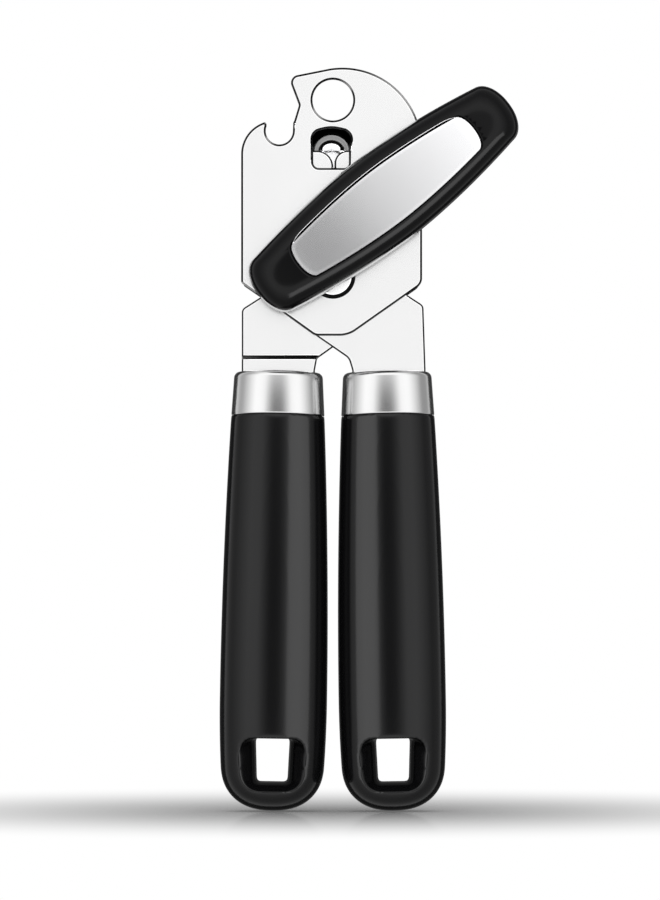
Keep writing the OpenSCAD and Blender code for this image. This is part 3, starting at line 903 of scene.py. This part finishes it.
def build_turned():
    rivet = lathe("pivot_rivet_turned", "rivet_steel", "frame", "pivot_rivet", PIVOT, [
        (0, 0, -1.5), (5.2, 0, -1.45), (6.3, 0, -0.3), (6.4, 0, 0), (3, 0, 0), (3, REAR_BACK, 0),
        (5.4, REAR_BACK, 0), (5.4, REAR_BACK, 0.7), (3.4, REAR_BACK, 1.2), (0, REAR_BACK, 1.2)], 0.3)
    # The steep ring at the front of the rivet's head is painted dark as shade.
    rivet.data.materials.append(MATERIALS["shear_band"])
    for face in rivet.data.polygons:
        face.material_index = int(RIVET_STEEP[0] < -face.normal.y < RIVET_STEEP[1] and face.center.y < 0)
    lathe("frame_rivet_turned", "rivet_steel", "frame", "frame_rivet", TIE, [
        (0, 0, -0.9), (2.2, 0, -0.85), (2.8, 0, 0), (1.6, 0, 0), (1.6, FACE_BACK, 0), (3.2, FACE_BACK, 0),
        (3.2, REAR_FRONT, 0), (1.6, REAR_FRONT, 0), (1.6, REAR_BACK, 0), (2.8, REAR_BACK, 0),
        (2.2, REAR_BACK, 0.85), (0, REAR_BACK, 0.9)], 0.4)
    lathe("spindle_bush_turned", "bearing_steel", "frame", "spindle_bush", DRIVE, [
        (2.5 + RUNNING, 0, -0.8), (6, 0, -0.8), (6, 0, 0), (4.5, 0, 0), (4.5, FACE_BACK, 0),
        (6, FACE_BACK, 0), (6, REAR_FRONT, 0), (4.5, REAR_FRONT, 0), (4.5, REAR_BACK, 0), (5.2, REAR_BACK, 0),
        (4.9, BUSH_BACK, 0), (2.5 + RUNNING, BUSH_BACK, 0)], 0.2, closed=True)
    lathe("spindle_rivet_turned", "bearing_steel", "drive", "spindle_rivet_head", DRIVE, [
        (0, FEED_HUB_BACK, 0.6), (3.4, FEED_HUB_BACK, 0.6), (3.3, FEED_HUB_BACK, 1.2),
        (2.2, FEED_HUB_BACK, 1.75), (1.1, FEED_HUB_BACK, 1.62), (0, FEED_HUB_BACK, 1.5)], 0.3)
    lathe("cutter_stud_turned", "bearing_steel", "right_arm", "cutter_stud", CUTTER, [
        (0, MID_FRONT, 0), (2.18, MID_FRONT, 0), (1.6, MID_FRONT, 0.7), (1.6, MID_BACK, 0), (3, MID_BACK, 0),
        (3, STEP_BACK, 0), (2, STEP_BACK, 0), (2, BLADE_BACK, 0.4), (4, BLADE_BACK, 0.4),
        (4, BLADE_BACK, 0.9), (2.6, BLADE_BACK, 1.4), (0, BLADE_BACK, 1.4)], 0.12)
    lathe("cutter_wheel_turned", "blade_steel", "cutter", "cutter_wheel", CUTTER, [
        (2 + RUNNING, STEP_BACK, 0.1), (6.5, STEP_BACK, 0.1), (6.5, BLADE_FRONT, 0), (9, BLADE_FRONT, 0),
        (11.5, BLADE_FRONT, 1), (11.5, BLADE_FRONT, 1.1), (10.4, BLADE_BACK, 0), (8.2, BLADE_BACK, 0),
        (8.0, BLADE_BACK, -0.15), (2 + RUNNING, BLADE_BACK, -0.15)], 0.06, closed=True)
    piece("feed_wheel_hardened", feed_wheel_mesh(), "gear_steel", "drive", "feed_wheel")
    piece("spring_washer_waved", spring_washer_mesh(), "bearing_steel", "drive", "spring_washer")
    slot_of = {part["node"]: part["material_slot"] for part in frame["record"]["subparts"]}
    for node, obj in frame["nodes"].items():
        obj.data.materials.clear()
        obj.data.materials.append(MATERIALS[slot_of[node]])


# ---- camera, floor and light ----

VIEW_CENTRE = Vector((-0.8 * MM, 0, -98 * MM))
VIEW_HEIGHT = 252 * MM
VIEW_DISTANCE = 2.5
SENSOR = 36.0
FLOOR_SIZE = 4.0            # half the floor's width
FLOOR_GAP = 0.15 * MM
FLOOR_FADE = 0.19           # distance from the object at which the floor is all white
ROOM_STRENGTH = 1.5
BACK_FROM = 0.5             # the part of the room that counts as behind the object
# Distance from the middle of the view of the room, and its brightness, in front of the object and behind
FRONT_TONES = ((0.0, 0.05), (0.07, 0.07), (0.20, 0.50), (0.33, 0.95), (0.62, 1.0), (0.80, 0.75), (0.93, 0.5),
               (1.0, 0.28))
BACK_TONES = ((0.0, 0.1), (0.3, 0.08), (0.5, 0.03), (0.86, 0.03), (1.0, 0.28))


def build_camera():
    data = bpy.data.cameras.new("camera")
    data.sensor_width = SENSOR
    data.lens = SENSOR * VIEW_DISTANCE / VIEW_HEIGHT
    data.clip_start = 0.05
    camera = bpy.data.objects.new("camera", data)
    camera.location = VIEW_CENTRE - Vector((0, VIEW_DISTANCE, 0))
    camera.rotation_euler = (math.pi / 2, 0, 0)
    bpy.context.scene.collection.objects.link(camera)
    bpy.context.scene.camera = camera


def floor_material():
    """Glossy white near the object, which fades into the white background."""
    material, tree, shader = new_material("floor", (0.55, 0.55, 0.55), 0.0, 0.08, 0.5)
    shader.inputs["IOR"].default_value = 2.0
    place = tree.nodes.new("ShaderNodeTexCoord")
    distance = tree.nodes.new("ShaderNodeVectorMath")
    distance.operation = "LENGTH"
    tree.links.new(place.outputs["Object"], distance.inputs[0])
    fade = tree.nodes.new("ShaderNodeMapRange")
    fade.interpolation_type = "SMOOTHSTEP"
    fade.inputs["From Min"].default_value = 0.0
    fade.inputs["From Max"].default_value = FLOOR_FADE
    tree.links.new(distance.outputs["Value"], fade.inputs["Value"])
    white = tree.nodes.new("ShaderNodeEmission")
    mix = tree.nodes.new("ShaderNodeMixShader")
    tree.links.new(fade.outputs["Result"], mix.inputs["Fac"])
    tree.links.new(shader.outputs["BSDF"], mix.inputs[1])
    tree.links.new(white.outputs["Emission"], mix.inputs[2])
    tree.links.new(mix.outputs["Shader"], tree.nodes["Material Output"].inputs["Surface"])
    return material


def build_floor():
    low = CAD_BOUNDS[0]
    bm = bmesh.new()
    corners = ((-1, -1), (1, -1), (1, 1), (-1, 1))
    bm.faces.new([bm.verts.new((x * FLOOR_SIZE, y * FLOOR_SIZE, 0)) for x, y in corners])
    mesh = bpy.data.meshes.new("floor")
    bm.to_mesh(mesh)
    bm.free()
    mesh.materials.append(floor_material())
    floor = bpy.data.objects.new("floor", mesh)
    floor.location.z = low.z - FLOOR_GAP
    floor.visible_glossy = False
    bpy.context.scene.collection.objects.link(floor)


def build_world():
    """A white room, darker in the middle where the camera stands, at the rim and behind the object."""
    world = bpy.data.worlds.new("studio")
    bpy.context.scene.world = world
    world.use_nodes = True
    tree = world.node_tree
    tree.nodes.clear()
    link = tree.links.new

    def math_node(operation, *values):
        node = tree.nodes.new("ShaderNodeMath")
        node.operation = operation
        for socket, value in zip(node.inputs, values):
            if isinstance(value, (int, float)):
                socket.default_value = value
            else:
                link(value, socket)
        return node.outputs["Value"]

    def ramp(value, stops):
        node = tree.nodes.new("ShaderNodeValToRGB")
        elements = node.color_ramp.elements
        for element, (position, level) in zip(elements, (stops[0], stops[-1])):
            element.position, element.color = position, (*grey(level), 1)
        for position, level in stops[1:-1]:
            elements.new(position).color = (*grey(level), 1)
        link(value, node.inputs["Fac"])
        return node.outputs["Color"]

    def from_centre(right):
        sideways = math_node("SUBTRACT", x, right)
        return math_node("SQRT", math_node("ADD", math_node("MULTIPLY", sideways, sideways),
                                           math_node("MULTIPLY", z, z)))

    def background(strength):
        node = tree.nodes.new("ShaderNodeBackground")
        node.inputs["Strength"].default_value = strength
        return node

    coordinates = tree.nodes.new("ShaderNodeTexCoord")
    parts = tree.nodes.new("ShaderNodeSeparateXYZ")
    link(coordinates.outputs["Generated"], parts.inputs["Vector"])
    x, y, z = (parts.outputs[axis] for axis in "XYZ")
    room = tree.nodes.new("ShaderNodeMix")
    room.data_type = "RGBA"
    link(math_node("GREATER_THAN", y, BACK_FROM), room.inputs["Factor"])
    link(ramp(from_centre(-0.02), FRONT_TONES), room.inputs["A"])
    link(ramp(from_centre(0), BACK_TONES), room.inputs["B"])
    light, plain = background(ROOM_STRENGTH), background(1.0)
    link(room.outputs["Result"], light.inputs["Color"])
    plain.inputs["Color"].default_value = (1, 1, 1, 1)
    path = tree.nodes.new("ShaderNodeLightPath")
    pick = tree.nodes.new("ShaderNodeMixShader")
    link(path.outputs["Is Camera Ray"], pick.inputs["Fac"])
    link(light.outputs["Background"], pick.inputs[1])
    link(plain.outputs["Background"], pick.inputs[2])
    output = tree.nodes.new("ShaderNodeOutputWorld")
    link(pick.outputs["Shader"], output.inputs["Surface"])


def only_for(light, names, unshadowed):
    """Links a light to some pieces, and if asked lets it pass through everything else."""
    lit = bpy.data.collections.new(light.name + "_lit")
    for name in names:
        lit.objects.link(bpy.data.objects[name])
    light.light_linking.receiver_collection = lit
    if unshadowed:
        light.light_linking.blocker_collection = bpy.data.collections.new(light.name + "_blockers")


def area_light(name, location, target, size, power, glossy=True, roll=0.0):
    data = bpy.data.lights.new(name, "AREA")
    data.shape = "RECTANGLE"
    data.size, data.size_y = size
    data.energy = power
    light = bpy.data.objects.new(name, data)
    light.location = location
    aim = (Vector(target) - Vector(location)).to_track_quat("-Z", "Y")
    light.rotation_euler = (aim @ Quaternion((0, 0, 1), roll)).to_euler()
    light.visible_camera = False
    light.visible_glossy = glossy
    bpy.context.scene.collection.objects.link(light)
    return light


STRIP_DISTANCE = 0.8
GRIP_STRIP_TURN = math.radians(38)
KNOB_STRIP_TURN = math.radians(52)
METAL_ENDINGS = ("_stamping", "_turned", "_hardened", "_waved", "_pressing")
FILLED = ("face_plate_stamping", "left_lever_stamping", "right_lever_stamping", "window_cup_pressing",
          "pivot_rivet_turned", "cutter_wheel_turned")


def build_lights():
    area_light("top", (0, 0, 0.9), (0, 0, -0.2), (1.6, 1.6), 22, glossy=False)
    turn = GRIP_STRIP_TURN
    for side, name in ((1, "left"), (-1, "right")):
        grip = name + "_grip_moulding"
        middle = Vector((-side * 16.5 * MM, 0, -140 * MM))
        place = middle + Vector((side * math.sin(turn), -math.cos(turn), 0.0)) * STRIP_DISTANCE
        only_for(area_light("strip_" + grip, place, middle, (0.72, 0.8), 2.75), [grip], False)
    only_for(area_light("rims", (0, -0.2, 0.9), (0, 0, -0.08), (1.2, 1.2), 1.6),
             ["left_ferrule_cup", "right_ferrule_cup"], True)
    across = Vector((math.cos(KNOB_ANGLE), 0, math.sin(KNOB_ANGLE)))
    place = DRIVE + across * 0.5 + Vector((0, -1.5, 0))
    only_for(area_light("inlay_box", place, place + Vector((0, 1, 0)), (1.1, 1.1), 2.25, roll=KNOB_ANGLE),
             ["knob_inlay_plate"], True)
    turn = KNOB_STRIP_TURN
    aside = Vector((math.sin(KNOB_ANGLE), 0, -math.cos(KNOB_ANGLE)))
    place = DRIVE + (aside * math.sin(turn) - Vector((0, math.cos(turn), 0))) * STRIP_DISTANCE
    only_for(area_light("knob_strip", place, DRIVE, (1.0, 0.3), 3.2, roll=KNOB_ANGLE),
             ["knob_moulding"], False)
    for side in (1, -1):
        kicker = area_light(f"kicker_{side}", (0.66 * side, 0.36, 0.66 * side), (0, 0, -0.03), (0.7, 0.7), 18)
        only_for(kicker, ["face_plate_stamping"], True)
    metals = [obj.name for obj in bpy.data.objects if obj.name.endswith(METAL_ENDINGS)]
    only_for(area_light("behind", (0, 1.1, 0), (0, 0, -0.04), (2.4, 1.6), 9.6), metals, False)
    only_for(area_light("fill", (0, -1.5, -0.04), (0, 0, -0.04), (1.8, 1.8), 8.2), FILLED, True)


build_camera()
build_handles()
build_knob()
build_plates()
build_turned()
build_floor()
build_world()
build_lights()
bpy.context.scene.view_settings.view_transform = "Standard"
